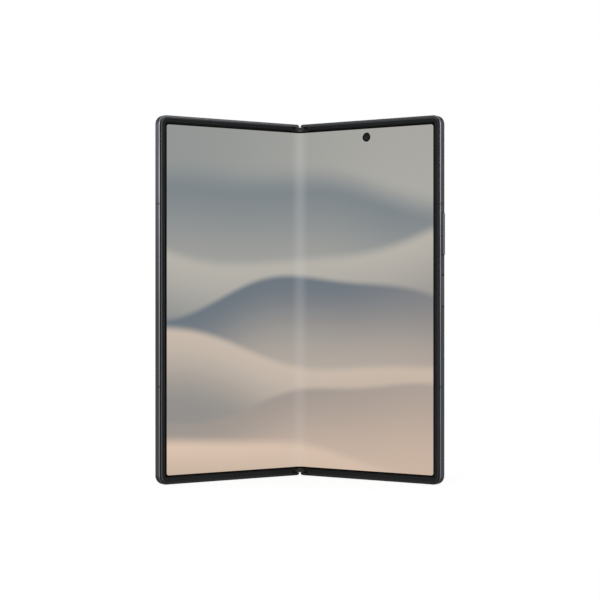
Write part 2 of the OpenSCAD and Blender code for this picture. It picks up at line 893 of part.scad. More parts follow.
module display_right() {
    color(screen_grey) right_side() difference() {
        plate(screen_sink, screen_back) leaf(flat_start, sheet_in);
        peg(selfie_u, selfie_w, selfie_r, 0, half_t);
    }
}

module display_left() {
    color(screen_grey) left_side() plate(screen_sink, screen_back) leaf(flat_start, sheet_in);
}

// Inner camera: barrel up to the screen's hole, on its square housing
module inner_camera() {
    housing = 3.2;
    color(black) right_side() {
        spin(selfie_u, selfie_w) polygon([[0, 0.5], [0.7, 0.5], [1.1, screen_sink + 0.05],
            [selfie_r - 0.1, screen_sink + 0.05], [selfie_r - 0.1, inside_d + 0.5],
            [0, inside_d + 0.5]]);
        block([selfie_u - housing, selfie_u + housing], [inside_d, inside_back - 0.2],
            [selfie_w - housing, selfie_w + housing]);
    }
}

module back_leaf() {
    leaf(rail_u + seam_gap, glass_in + seam_gap);
}

// A pill outline along the row of rear cameras
module camera_pill(r) {
    for (w = [cam_ws[0], cam_ws[2]]) translate([cam_u, w]) circle(r);
    translate([cam_u - r, cam_ws[2]]) square([2 * r, cam_ws[0] - cam_ws[2]]);
}

module rear_glass() {
    color(black) right_side() difference() {
        plate(glass_d, half_t) back_leaf();
        plate(glass_d - 1, half_t + 1) camera_pill(deck_r - 1.6);
        peg(flash_u, flash_w, flash_r + seam_gap, 0, half_t + 1);
    }
}

// Raised deck with bevelled edge, bored for the three cameras
module camera_deck() {
    bevel = 0.5;
    section = [[0, half_t], [deck_r, half_t], [deck_r, deck_top - bevel],
        [deck_r - bevel, deck_top], [0, deck_top]];
    color(graphite) right_side() difference() {
        union() {
            for (w = [cam_ws[0], cam_ws[2]]) spin(cam_u, w) polygon(section);
            run(cam_ws[2], cam_ws[0]) translate([cam_u, 0]) {
                polygon(section);
                mirror([1, 0]) polygon(section);
            }
        }
        for (w = cam_ws) peg(cam_u, w, lens_r - 0.2, 0, deck_top + 1);
    }
}

module lens_rings() {
    top = deck_top + ring_h;
    color(steel) right_side() for (w = cam_ws) spin(cam_u, w) polygon([[lens_r, deck_top],
        [ring_r, deck_top], [ring_r, top - 0.3], [ring_r - 0.3, top], [lens_r + 0.3, top],
        [lens_r, top - 0.2]]);
}

module lens_glasses() {
    top = deck_top + ring_h;
    color("#20262e") right_side() for (w = cam_ws)
        peg(cam_u, w, lens_r - seat_gap, top - 0.65, top - 0.2);
}

// Camera modules: square base on the floor, barrel up through the deck
module camera_modules() {
    base = 5.4;
    top = deck_top + ring_h - 0.75;
    barrel_r = lens_r - 0.35;
    color(black) right_side() for (w = cam_ws) {
        block([cam_u - base, cam_u + base], [inside_d, inside_back], [w - base, w + base]);
        spin(cam_u, w) polygon([[0, inside_back - 0.5], [barrel_r, inside_back - 0.5],
            [barrel_r, top], [barrel_r - 0.7, top], [1.8, top - 0.5], [1.5, top - 0.3],
            [0, top - 0.2]]);
    }
}

module flash_lens() {
    color("#e8e2c8") right_side() peg(flash_u, flash_w, flash_r, board_back + seat_gap,
        half_t - 0.03);
}

module battery_right() {
    color(cell_grey) right_side() plate(inside_d, inside_back) translate([bay_u, bay_w])
        round_rect([rib_u - bay_u - 1, mid_w + cell_top - bay_w], 1.5);
}

module main_board() {
    low = mid_w + cell_top + 3;
    color(board_green) right_side() plate(inside_d, board_back)
        translate([bay_u, low]) round_rect([lens_bay_u - bay_u, selfie_w - 5 - low], 1);
}

// Shield cans over the chips of the main board
module board_shields() {
    low = mid_w + cell_top + 5;
    tall = selfie_w - 7 - low;
    wide = flash_u - flash_r - 1 - bay_u - 2;
    color(steel) right_side() for (part = [[0, 0.55], [0.6, 0.4]])
        plate(board_back + seat_gap, inside_back - 0.2)
            translate([bay_u + 2, low + part[0] * tall]) round_rect([wide, part[1] * tall], 0.8);
}

// Flat winding for wireless charging, between the battery and the glass
module charging_coil() {
    color(copper) right_side() plate(inside_back + 0.02, glass_d - 0.02)
        translate([half_w / 2 + 2, mid_w - 22]) difference() {
            circle(18);
            circle(10);
        }
}

module usb_shell() {
    color(steel) right_side() translate([port_u, port_d, 0]) difference() {
        run(0.15, port_deep + 0.3) stadium(port_w + 2 * shell_t, port_h + 2 * shell_t);
        run(-1, port_deep) stadium(port_w, port_h);
    }
}

// Contact tongue in the middle of the port, on the plug that closes it
module usb_tongue() {
    color(black) right_side() translate([port_u, port_d, 0]) {
        run(port_deep - 1.2, port_deep - 0.02) stadium(port_w - 0.04, port_h - 0.04);
        run(1.1, port_deep - 1) translate([-3.1, -0.35]) round_rect([6.2, 0.7], 0.15);
    }
}

module loudspeaker() {
    color(black) right_side() plate(inside_d, inside_back)
        translate([port_u + 11.5, wall_t + 0.3])
            round_rect([rib_u - port_u - 12.5, bay_w - wall_t - 1.3], 1);
}

module vibration_motor() {
    color(steel) right_side() plate(inside_d, inside_back - 0.3)
        translate([bay_u + 1, wall_t + 1]) round_rect([14, 9.5], 1);
}

module cover_glass() {
    color(black) left_side() plate(glass_d, half_t) back_leaf();
}

// Outer display bonded behind the cover glass, with a hole for its camera
module cover_display() {
    color("#20242a") left_side() difference() {
        plate(glass_d - seat_gap - cover_t, glass_d - seat_gap)
            leaf(rail_u + 1.4, glass_in + 1.4);
        peg(cover_cam[0], cover_cam[1], selfie_r, 0, half_t);
    }
}

module cover_camera() {
    color(black) left_side() {
        peg(cover_cam[0], cover_cam[1], selfie_r - 0.15, inside_d + 0.5, glass_d - seat_gap);
        block([cover_cam[0] - 3, cover_cam[0] + 3], [inside_d, cover_back - 0.1],
            [cover_cam[1] - 3, cover_cam[1] + 3]);
    }
}

module earpiece() {
    color(black) left_side() plate(inside_d, cover_back - 0.1)
        translate([cover_cam[0] - 6, body_h - wall_t - 4.6]) round_rect([12, 4.3], 0.6);
}

module battery_left() {
    color(cell_grey) left_side() plate(inside_d, cover_back) translate([bay_u, bay_w])
        round_rect([hollow_u - bay_u - 2, mid_w + cover_cell_top - bay_w], 1.5);
}

// Second board, beside the card reader, with two shielded chips
module sub_board() {
    low = mid_w + cover_cell_top + 2;
    tall = cover_cam[1] - 4 - low;
    start = tray_u + tray_w / 2 + 2;
    color(board_green) left_side() {
        plate(inside_d, board_back) translate([start, low])
            round_rect([hollow_u - start - 2, tall], 1);
        for (i = [0:1]) plate(board_back - 0.1, cover_back - 0.1)
            translate([start + 4 + 20 * i, low + 3]) round_rect([14, tall - 6], 0.6);
    }
}

// Steel cage that holds the card tray
module card_reader() {
    top = tray_top - 0.4;
    low = tray_top - tray_len - 0.6;
    sheet = 0.25;
    half_in = tray_w / 2 + tray_fit;
    gap_in = tray_t / 2 + tray_fit;
    color(steel) left_side() translate([tray_u, tray_d, 0]) difference() {
        block([-half_in - sheet, half_in + sheet], [inside_d - tray_d, gap_in + sheet], [low, top]);
        block([-half_in, half_in], [-gap_in, gap_in], [low + sheet, top + 1]);
    }
}

// Tray with a card pocket, behind a face that closes the frame's opening
module card_tray() {
    low = tray_top - tray_len;
    pocket_half = 4.5;
    color(graphite) left_side() translate([tray_u, tray_d, 0]) difference() {
        union() {
            run(tray_top, body_h - key_sunk) stadium(tray_face, tray_face_t);
            block([-tray_w / 2, tray_w / 2], [-tray_t / 2, tray_t / 2], [low, tray_top + 0.2]);
        }
        block([-pocket_half, pocket_half], [-far, tray_t / 2 - 0.3], [low + 1.5, low + 14]);
        run(tray_top - 1, body_h + 1) translate([tray_face / 2 - 1.2, 0]) circle(pin_hole_r);
    }
}

spine_cover();
spine_caps();
hinge_blocks();
gear_block();
friction_clips();
block_screws();
display_fold();
hinge_flex();
pinion_right();
idler_right();
idler_left();
pinion_left();
frame_right();
bezel_right();
support_plate_right();
display_right();
bands_right();
arms_right();
arm_screws_right();
rear_glass();
camera_deck();
lens_rings();
lens_glasses();
camera_modules();
flash_lens();
inner_camera();
battery_right();
main_board();
board_shields();
charging_coil();
usb_shell();
usb_tongue();
loudspeaker();
vibration_motor();
key_switches();
volume_key();
power_key();
frame_left();
bezel_left();
support_plate_left();
display_left();
bands_left();
arms_left();
arm_screws_left();
cover_glass();
cover_display();
cover_camera();
earpiece();
battery_left();
sub_board();
card_reader();
card_tray();
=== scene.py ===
import math

import bpy
import bmesh
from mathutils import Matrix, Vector


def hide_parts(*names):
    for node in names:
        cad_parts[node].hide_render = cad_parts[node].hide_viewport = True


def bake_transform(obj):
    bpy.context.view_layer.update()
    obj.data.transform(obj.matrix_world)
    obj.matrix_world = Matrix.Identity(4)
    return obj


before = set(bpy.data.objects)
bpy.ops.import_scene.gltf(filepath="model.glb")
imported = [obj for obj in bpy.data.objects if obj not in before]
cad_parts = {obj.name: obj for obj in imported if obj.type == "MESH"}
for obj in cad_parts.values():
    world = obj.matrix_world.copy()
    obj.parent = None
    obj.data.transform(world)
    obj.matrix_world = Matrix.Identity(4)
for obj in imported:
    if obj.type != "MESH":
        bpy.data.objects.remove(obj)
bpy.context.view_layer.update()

# Sizes of the CAD model, in metres. For a half laid flat, u runs outwards from the hinge line,
# d backwards from the front of the frame and w upwards. The left half mirrors the right one.
MM = 0.001
HEIGHT = 158.4 * MM
MID = HEIGHT / 2
HALF_W = 71.6 * MM
HALF_T = 4.2 * MM
CORNER_R = 3.9 * MM

# Axis of a half, the radius where the two halves meet beside it, the tilt of a half from flat, and
# the shift that puts the depth of the whole phone about y = 0
AXIS_U = 1.25 * MM
AXIS_D = 1.0 * MM
MEET_R = AXIS_U - 0.12 * MM
TILT = math.radians(32.5)
COS, SIN = math.cos(TILT), math.sin(TILT)
SHIFT_Y = ((HALF_W - AXIS_U) * SIN + AXIS_D * COS - MEET_R * SIN - (HALF_T - AXIS_D) * COS) / 2 - AXIS_D

# Screen: where its flat starts, its two faces, and how far in from the outline it ends
FLAT_START = 4.15 * MM
SCREEN_FRONT = 0.30 * MM
SCREEN_BACK = 0.85 * MM
SCREEN_IN = 2.6 * MM

# Places that the materials follow
INNER_CAMERA_U, INNER_CAMERA_W, INNER_CAMERA_R = 34.9 * MM, HEIGHT - 7.5 * MM, 1.95 * MM
REAR_CAMERA_U, REAR_CAMERA_TOP, REAR_CAMERA_STEP = 59.2 * MM, 15.2 * MM, 17 * MM
FLASH_U, FLASH_W = 45.8 * MM, HEIGHT - 17.2 * MM
COIL_U, COIL_D, COIL_W = 37.8 * MM, 3.6 * MM, MID - 22 * MM
COVER_CAMERA_U, COVER_CAMERA_W = 35.9 * MM, HEIGHT - 9.5 * MM
COVER_DISPLAY_START, COVER_DISPLAY_IN = 6.5 * MM, 2.35 * MM

# Ribbon cable: depth of its flat, outer end, thickness, lower and upper edge, and the shape of its bend
CABLE_D = SCREEN_BACK + 0.65 * MM
CABLE_END = 9.5 * MM
CABLE_T = 0.12 * MM
CABLE_LOW, CABLE_HIGH = MID + 20 * MM, MID + 26 * MM
CABLE_DIP = 1.8 * MM
CABLE_LEAD = 1.2 * MM
CABLE_LEVEL = 1.8 * MM

# Edges of the lit area, measured from the hinge line and from mid height
LIT_LEFT, LIT_RIGHT, LIT_END = 67.79 * MM, 67.95 * MM, 75.21 * MM
LIT_CORNER_R = 1.0 * MM

# Camera, fitted to the outline in the photograph; its sensor is in millimetres
FOCAL_PX, PICTURE_PX = 1539.3, 600
SENSOR = 36
CAMERA_SHIFT = (0.00023, -0.0002)
CAMERA_DISTANCE = 0.6945


def half_point(u, d, w):
    """A point of the right half at its tilt in the photograph."""
    x = AXIS_U + (u - AXIS_U) * COS + (d - AXIS_D) * SIN
    y = AXIS_D - (u - AXIS_U) * SIN + (d - AXIS_D) * COS
    return Vector((x, y + SHIFT_Y, w))


def ease(t):
    return t * t * (3 - 2 * t)


def fold_point(share, d, w):
    """A point of the bend: share 0 on the hinge line and 1 where the flat starts."""
    tilt = TILT * (1 - ease(1 - share))
    x = share * half_point(FLAT_START, d, w)[0]
    along = ((x - AXIS_U) - (d - AXIS_D) * math.sin(tilt)) / math.cos(tilt)
    y = AXIS_D - along * math.sin(tilt) + (d - AXIS_D) * math.cos(tilt)
    return Vector((x, y + SHIFT_Y, w))


cam_data = bpy.data.cameras.new("camera")
cam = bpy.data.objects.new("camera", cam_data)
bpy.context.scene.collection.objects.link(cam)
cam_data.sensor_width = SENSOR
cam_data.lens = FOCAL_PX * SENSOR / PICTURE_PX
cam_data.shift_x, cam_data.shift_y = CAMERA_SHIFT
cam_data.clip_start, cam_data.clip_end = 0.01, 50
cam.location = (0, SHIFT_Y - CAMERA_DISTANCE, MID)
cam.rotation_euler = (math.radians(90), 0, 0)
bpy.context.scene.camera = cam


class Maker:
    """Builds one node material."""

    SOCKETS = {"color": "Base Color", "metal": "Metallic", "rough": "Roughness",
               "spec": "Specular IOR Level", "coat": "Coat Weight", "coat_rough": "Coat Roughness",
               "glow": "Emission Color", "glow_power": "Emission Strength"}

    def __init__(self, name):
        self.mat = bpy.data.materials.new(name)
        self.mat.use_nodes = True
        self.tree = self.mat.node_tree
        self.shader = self.tree.nodes["Principled BSDF"]
        self.out = self.tree.nodes["Material Output"]

    def node(self, kind, **props):
        n = self.tree.nodes.new(kind)
        for k, v in props.items():
            setattr(n, k, v)
        return n

    def put(self, value, socket):
        """Links a socket to a value or sets it; colours are written without their alpha."""
        if isinstance(value, bpy.types.NodeSocket):
            self.tree.links.new(value, socket)
        elif socket.type == "RGBA":
            socket.default_value = (*value, 1)
        else:
            socket.default_value = value

    def math(self, op, *values, clamp=False):
        n = self.node("ShaderNodeMath", operation=op, use_clamp=clamp)
        for value, socket in zip(values, n.inputs):
            self.put(value, socket)
        return n.outputs[0]

    def times(self, a, b):
        return self.math("MULTIPLY", a, b)

    def line(self, value, slope, start):
        """A value times its slope, plus a start."""
        return self.math("MULTIPLY_ADD", value, slope, start)

    def flip(self, share):
        return self.math("SUBTRACT", 1.0, share)

    def length(self, a, b):
        return self.math("SQRT", self.math("ADD", self.times(a, a), self.times(b, b)))

    def smooth(self, value, low, high):
        """0 below low, 1 above high, and smooth in between."""
        n = self.node("ShaderNodeMapRange", interpolation_type="SMOOTHSTEP", clamp=True)
        self.put(value, n.inputs["Value"])
        self.put(low, n.inputs["From Min"])
        self.put(high, n.inputs["From Max"])
        return n.outputs["Result"]

    def within(self, value, radius, soft):
        """1 inside a radius and 0 outside it, with a soft edge."""
        return self.flip(self.smooth(value, radius - soft, radius + soft))

    def mix(self, fac, a, b):
        n = self.node("ShaderNodeMix", data_type="RGBA", clamp_factor=True)
        self.put(fac, n.inputs["Factor"])
        self.put(a, n.inputs["A"])
        self.put(b, n.inputs["B"])
        return n.outputs["Result"]

    def shaded(self, colour, value):
        """A colour times a grey value."""
        grey_value = self.node("ShaderNodeCombineColor")
        for channel in grey_value.inputs:
            self.put(value, channel)
        n = self.node("ShaderNodeMix", data_type="RGBA", blend_type="MULTIPLY")
        self.put(1.0, n.inputs["Factor"])
        self.put(colour, n.inputs["A"])
        self.put(grey_value.outputs[0], n.inputs["B"])
        return n.outputs["Result"]

    def mottled(self, cloud, base, dark, light):
        """A colour that drifts between a darker and a lighter share of itself."""
        return self.mix(self.smooth(cloud, 0.3, 0.7), tinted(base, dark), tinted(base, light))

    def coords(self, kind="Object"):
        return self.node("ShaderNodeTexCoord").outputs[kind]

    def part(self, vector, axis):
        n = self.node("ShaderNodeSeparateXYZ")
        self.put(vector, n.inputs[0])
        return n.outputs[axis]

    def vector(self, op, a, b=None):
        """Vector maths. Its result is a number for a dot product or a length."""
        n = self.node("ShaderNodeVectorMath", operation=op)
        self.put(a, n.inputs[0])
        if b is not None:
            n.inputs[1].default_value = b
        return n.outputs["Value" if op in ("DOT_PRODUCT", "LENGTH") else "Vector"]

    def scaled(self, vector, scale, turn=(0, 0, 0)):
        n = self.node("ShaderNodeMapping")
        self.put(vector, n.inputs["Vector"])
        n.inputs["Scale"].default_value = scale
        n.inputs["Rotation"].default_value = turn
        return n.outputs["Vector"]

    def noise(self, vector, scale, detail=3.0, rough=0.55):
        n = self.node("ShaderNodeTexNoise")
        self.put(vector, n.inputs["Vector"])
        self.put(scale, n.inputs["Scale"])
        self.put(detail, n.inputs["Detail"])
        self.put(rough, n.inputs["Roughness"])
        return n.outputs["Fac"]

    def bump(self, height, distance, strength=1.0):
        n = self.node("ShaderNodeBump")
        self.put(height, n.inputs["Height"])
        self.put(distance, n.inputs["Distance"])
        self.put(strength, n.inputs["Strength"])
        self.put(n.outputs["Normal"], self.shader.inputs["Normal"])

    def set(self, **values):
        for k, v in values.items():
            self.put(v, self.shader.inputs[self.SOCKETS[k]])


def grey(v):
    """Linear value of an sRGB grey from 0 to 255."""
    c = v / 255
    return c / 12.92 if c <= 0.04045 else ((c + 0.055) / 1.055) ** 2.4


def rgb(r, g, b):
    return (grey(r), grey(g), grey(b))


def tinted(base, factor):
    return tuple(factor * c for c in base)


BLACK = (0.001, 0.001, 0.001)
SHADOW = (0.006, 0.006, 0.007)
FRONT = {"right": Vector((-SIN, -COS, 0)), "left": Vector((SIN, -COS, 0))}
REAR = -FRONT["right"]


def facing(m, direction, low, high):
    """Share of a face that looks along a direction of the object's own space."""
    return m.smooth(m.vector("DOT_PRODUCT", m.coords("Normal"), direction), low, high)


def upright(m, low, high):
    """Share of a face that looks up or down."""
    return m.smooth(m.math("ABSOLUTE", m.part(m.coords("Normal"), "Z")), low, high)


def at_ends(m):
    """Shares of a place near the upper and near the lower edge."""
    low, high = 1.6 * MM, 2.2 * MM
    z = m.part(m.coords(), "Z")
    return m.smooth(z, HEIGHT - high, HEIGHT - low), m.flip(m.smooth(z, low, high))


def inset(m, side):
    """Distance in from the outline of a half, on its three open edges."""
    sign = 1 if side == "right" else -1
    off = m.vector("SUBTRACT", m.coords(), (sign * AXIS_U, AXIS_D + SHIFT_Y, 0))
    out = m.vector("DOT_PRODUCT", off, (sign * COS, -SIN, 0))
    across = m.math("ADD", out, AXIS_U - HALF_W + CORNER_R)
    from_mid = m.math("ABSOLUTE", m.math("SUBTRACT", m.part(off, "Z"), MID))
    along = m.math("ADD", from_mid, CORNER_R - MID)
    corner = m.length(m.math("MAXIMUM", across, 0.0), m.math("MAXIMUM", along, 0.0))
    past = m.math("ADD", corner, m.math("MINIMUM", m.math("MAXIMUM", across, along), 0.0))
    return m.math("SUBTRACT", CORNER_R, past)


def from_axis(m, centre, direction):
    """Distance from an axis."""
    off = m.vector("SUBTRACT", m.coords(), centre)
    return m.vector("LENGTH", m.vector("CROSS_PRODUCT", off, direction))


def ripple(m, distance, pitch):
    """A wave between 0 and 1 over a distance."""
    return m.line(m.math("SINE", m.times(distance, 2 * math.pi / pitch)), 0.5, 0.5)


def frame_metal(name, side, wall, outer, inner, bevel_end=0.32 * MM, hinge_shade=0.2, top_shade=0.0,
                corner_dull=(0.05, 0.35)):
    """Anodised, bead-blasted metal with a polished bevel of two facets along its front edge.

    Much of its colour is painted light and shade. The bevel has painted highlights along the sides,
    brighter on its inner facet, and painted shade along both ends, darkest along the lower end and
    round the corners. The ledge beside the trim, the insides of slots and the walls round the corners
    have painted shade. wall, outer and inner are tones: a colour, and the share of it that is left low
    on the phone, so painted shade darkens them towards the bottom. The shades say how much painted
    shade darkens the metal beside the hinge and the bevel near the top, and corner_dull how steeply a
    face of the corner looks up where it turns from polished to dull.
    """
    m = Maker(name)
    p = m.coords()
    fine = m.noise(p, 5200, 2)
    broad = m.noise(p, 140, 3)
    z = m.part(p, "Z")
    span = m.math("MULTIPLY", z, 1 / HEIGHT, clamp=True)

    # A mottled tone, times painted shade that darkens it towards the bottom
    def mottle_and_painted_shade(tone, start):
        colour, low = tone
        share = m.line(m.smooth(span, start, 1.0), 1 - low, low)
        return m.shaded(m.mottled(broad, colour, 0.96, 1.04), share)

    steep = facing(m, FRONT[side], 0.1, 0.2)
    level = facing(m, FRONT[side], 0.97, 0.99)
    back = facing(m, -FRONT[side], 0.02, 0.1)
    deep = inset(m, side)
    upper, lower = at_ends(m)
    on_end = upright(m, 0.3, 0.7)
    off_flat_end = m.flip(upright(m, 0.85, 0.97))

    # painted highlight: the inner facet of the bevel is brighter than the outer one
    bevel = m.mix(facing(m, FRONT[side], 0.5, 0.85), mottle_and_painted_shade(outer, 0.4), mottle_and_painted_shade(inner, -0.1))
    # painted shade on the bevel where it turns round the corners
    bevel = m.shaded(bevel, m.line(upright(m, 0.02, 0.3), -0.45, 1.0))
    # painted shade on the bevel near the top, as strong as top_shade
    near_top = m.smooth(z, HEIGHT - 28 * MM, HEIGHT - 6 * MM)
    bevel = m.shaded(bevel, m.line(near_top, -top_shade, 1.0))
    # painted shade on the bevel along both ends, darkest along the lower end
    bevel = m.mix(on_end, bevel, m.mix(span, (0.012, 0.0125, 0.0135), (0.088, 0.09, 0.096)))
    # painted shade on the walls where they turn round the corners
    round_corner = m.times(upright(m, 0.05, 0.4), off_flat_end)
    sides = m.mix(m.times(round_corner, 0.75), mottle_and_painted_shade(wall, 0.4), SHADOW)
    # painted shade inside slots
    in_slot = m.times(m.smooth(deep, 0.1 * MM, 0.25 * MM), m.flip(back))
    sides = m.mix(in_slot, sides, SHADOW)
    # painted shade on the ledge beside the trim, lighter along both ends and most along the upper end
    ledge = m.mix(upper, m.mix(lower, SHADOW, (0.03, 0.03, 0.032)), (0.075, 0.076, 0.08))
    past_bevel = m.times(steep, m.smooth(deep, bevel_end - 0.03 * MM, bevel_end + 0.03 * MM))
    colour = m.mix(m.math("MAXIMUM", past_bevel, level), m.mix(steep, sides, bevel), ledge)
    # painted shade beside the hinge gap, as strong as hinge_shade
    off_hinge = m.smooth(m.math("ABSOLUTE", m.part(p, "X")), 3.1 * MM, 3.5 * MM)
    m.set(color=m.shaded(colour, m.line(off_hinge, hinge_shade, 1 - hinge_shade)), metal=0.9)

    rough = m.node("ShaderNodeMapRange")
    m.put(m.times(steep, m.flip(on_end)), rough.inputs["Value"])
    m.put(m.line(fine, 0.06, 0.39), rough.inputs["To Min"])
    m.put(0.28, rough.inputs["To Max"])
    dull = m.times(m.times(upright(m, *corner_dull), off_flat_end), 0.7)
    m.set(rough=m.math("MAXIMUM", rough.outputs["Result"], dull))
    m.bump(m.line(broad, 0.2, fine), 0.004 * MM, 0.04)
    return m.mat


def plain_metal(name, base, rough=0.34, metal=0.95, stretch=(1, 1, 14), scale=1600):
    """Metal with fine machining marks."""
    m = Maker(name)
    marks = m.noise(m.scaled(m.coords(), stretch), scale, 3, 0.6)
    tone = m.mottled(m.noise(m.coords(), 90, 2), base, 0.88, 1.08)
    m.set(color=m.mix(m.smooth(marks, 0.45, 0.8), tone, tinted(base, 1.2)), metal=metal,
          rough=m.line(marks, 0.2, rough - 0.1))
    m.bump(marks, 0.01 * MM, 0.3)
    return m.mat


def plastic(name, base, rough=0.5, spec=0.2, grain=4200, bump=0.3, coat=0.0):
    """Fine-grained moulded plastic."""
    m = Maker(name)
    fine = m.noise(m.coords(), grain, 2)
    broad = m.noise(m.coords(), 160, 3)
    m.set(color=m.mottled(broad, base, 0.9, 1.12), rough=m.line(fine, 0.14, rough - 0.07),
          spec=spec, coat=coat, coat_rough=0.15)
    m.bump(fine, 0.01 * MM, bump)
    return m.mat


def trim_plastic(name, side, ridge):
    """Soft near-black trim. Its raised ridge has a painted highlight; its inner edge falls off to black.
    """
    m = Maker(name)
    p = m.coords()
    fine = m.noise(p, 4600, 3)
    tone = m.mix(m.smooth(m.noise(p, 120, 3), 0.3, 0.7), rgb(20, 21, 22), rgb(25, 26, 27))
    deep = inset(m, side)
    on_ridge = m.times(m.smooth(deep, 0.75 * MM, 0.9 * MM), m.flip(m.smooth(deep, 1.35 * MM, 1.65 * MM)))
    # painted highlight along the raised ridge, broken up by noise
    painted_ridge_highlight = m.times(on_ridge, m.line(m.noise(p, 700, 3), 0.1, 0.91))
    upper, lower = at_ends(m)
    # the ridge's painted highlight has its own tones along the upper and the lower end
    ridge_tone = m.mix(upper, m.mix(lower, ridge, rgb(30, 31, 32)), rgb(50, 51, 54))
    inner = m.smooth(deep, 2.75 * MM, 2.95 * MM)
    m.set(color=m.mix(inner, m.mix(painted_ridge_highlight, tone, ridge_tone), BLACK), rough=m.line(fine, 0.08, 0.48),
          spec=0.08)
    m.bump(fine, 0.01 * MM, 0.1)
    return m.mat


def back_glass_material(name, base):
    """Satin glass over a dark layer: fine etch, and a smooth coat at grazing angles."""
    m = Maker(name)
    etch = m.noise(m.coords(), 6500, 2)
    m.set(color=m.mottled(m.noise(m.coords(), 38, 3), base, 0.92, 1.1), metal=0.25,
          rough=m.line(etch, 0.12, 0.3), spec=0.4, coat=0.25, coat_rough=0.3)
    m.bump(etch, 0.006 * MM, 0.3)
    return m.mat


def rings_material(name, base, centre, pitch, metal, rough, **more):
    """Concentric turned or moulded rings about an axis through the phone's thickness."""
    m = Maker(name)
    wave = ripple(m, from_axis(m, centre, REAR), pitch)
    m.set(color=m.mix(wave, tinted(base, 0.85), base), metal=metal, rough=m.line(wave, 0.12, rough),
          **more)
    m.bump(wave, 0.1 * MM, 0.6)
    return m.mat


def camera_window(name, centre, glass_r):
    """Black barrel round a dark glass."""
    m = Maker(name)
    middle = m.within(from_axis(m, centre, REAR), glass_r, 0.15 * MM)
    m.set(color=m.mix(middle, BLACK, rgb(26, 27, 28)), spec=0.06,
          rough=m.line(m.noise(m.coords(), 900, 1), 0.1, 0.3))
    return m.mat


def cover_glass_material(name, centre):
    """Glossy black glass over an unlit display, with a round window for its camera."""
    m = Maker(name)
    edge = 0.04 * MM
    start_x = half_point(COVER_DISPLAY_START, HALF_T, 0)[0]
    from_hinge = m.smooth(m.times(m.part(m.coords(), "X"), -1.0), start_x - edge, start_x + edge)
    inside = m.smooth(inset(m, "left"), COVER_DISPLAY_IN - edge, COVER_DISPLAY_IN + edge)
    colour = m.mix(m.times(from_hinge, inside), rgb(4, 4, 5), rgb(17, 18, 21))
    away = from_axis(m, centre, -FRONT["left"])
    for radius, tone in ((1.95, rgb(3, 3, 4)), (1.2, rgb(24, 28, 48)), (0.55, rgb(3, 3, 5))):
        colour = m.mix(m.within(away, radius * MM, 0.05 * MM), colour, tone)
    smears = m.noise(m.scaled(m.coords(), (1, 1, 0.4)), 60, 4)
    m.set(color=colour, rough=m.line(smears, 0.08, 0.04), spec=0.25)
    return m.mat


def barrels_material(name, centres, rough, ring_rough, spec):
    """Stepped black rings round a dark coated lens, for the barrels and the glasses over them."""
    m = Maker(name)
    away = from_axis(m, centres[0], REAR)
    for centre in centres[1:]:
        away = m.math("MINIMUM", away, from_axis(m, centre, REAR))
    steps = ripple(m, away, 0.42 * MM)
    colour = m.mix(m.times(steps, steps), rgb(10, 10, 11), rgb(34, 35, 38))
    for radius, tone in ((2.75, rgb(76, 78, 84)), (2.55, rgb(17, 22, 42)), (1.5, rgb(32, 26, 46)),
                         (1.1, rgb(3, 3, 5))):
        colour = m.mix(m.within(away, radius * MM, 0.06 * MM), colour, tone)
    on_rings = m.smooth(away, 2.5 * MM, 2.7 * MM)
    m.set(color=colour, rough=m.line(on_rings, ring_rough - rough, rough), spec=spec)
    return m.mat


def board_material(name):
    """Solder resist with fine traces and vias."""
    m = Maker(name)
    grid = m.node("ShaderNodeTexBrick")
    m.put(m.scaled(m.coords(), (1, 1, 1), (math.radians(90), 0, 0)), grid.inputs["Vector"])
    m.put(160, grid.inputs["Scale"])
    m.put(0.03, grid.inputs["Mortar Size"])
    m.put(rgb(18, 74, 50), grid.inputs["Color1"])
    m.put(rgb(24, 88, 60), grid.inputs["Color2"])
    m.put(rgb(58, 128, 84), grid.inputs["Mortar"])
    via = m.node("ShaderNodeTexVoronoi")
    m.put(m.coords(), via.inputs["Vector"])
    m.put(420, via.inputs["Scale"])
    dots = m.flip(m.smooth(via.outputs["Distance"], 0.1, 0.16))
    m.set(color=m.mix(dots, grid.outputs["Color"], rgb(176, 148, 86)), rough=0.42, spec=0.4)
    m.bump(grid.outputs["Fac"], 0.02 * MM, 0.4)
    return m.mat


def foil_material(name, base):
    """Dark laminated foil with faint wrinkles."""
    m = Maker(name)
    wrinkle = m.noise(m.scaled(m.coords(), (1, 1, 0.4)), 260, 5, 0.6)
    m.set(color=m.mix(wrinkle, tinted(base, 0.85), tinted(base, 1.2)), rough=m.line(wrinkle, 0.2, 0.28),
          spec=0.4)
    m.bump(wrinkle, 0.06 * MM, 0.5)
    return m.mat


def flex_material(name):
    """Amber film with copper tracks that run across the hinge."""
    m = Maker(name)
    wave = m.math("SINE", m.times(m.part(m.coords(), "Z"), 2 * math.pi / (0.5 * MM)))
    track = m.smooth(wave, -0.1, 0.25)
    m.set(color=m.mix(track, rgb(146, 84, 26), rgb(196, 124, 62)), metal=0.15,
          rough=m.line(track, -0.12, 0.42), spec=0.4)
    m.bump(track, 0.02 * MM, 0.5)
    return m.mat


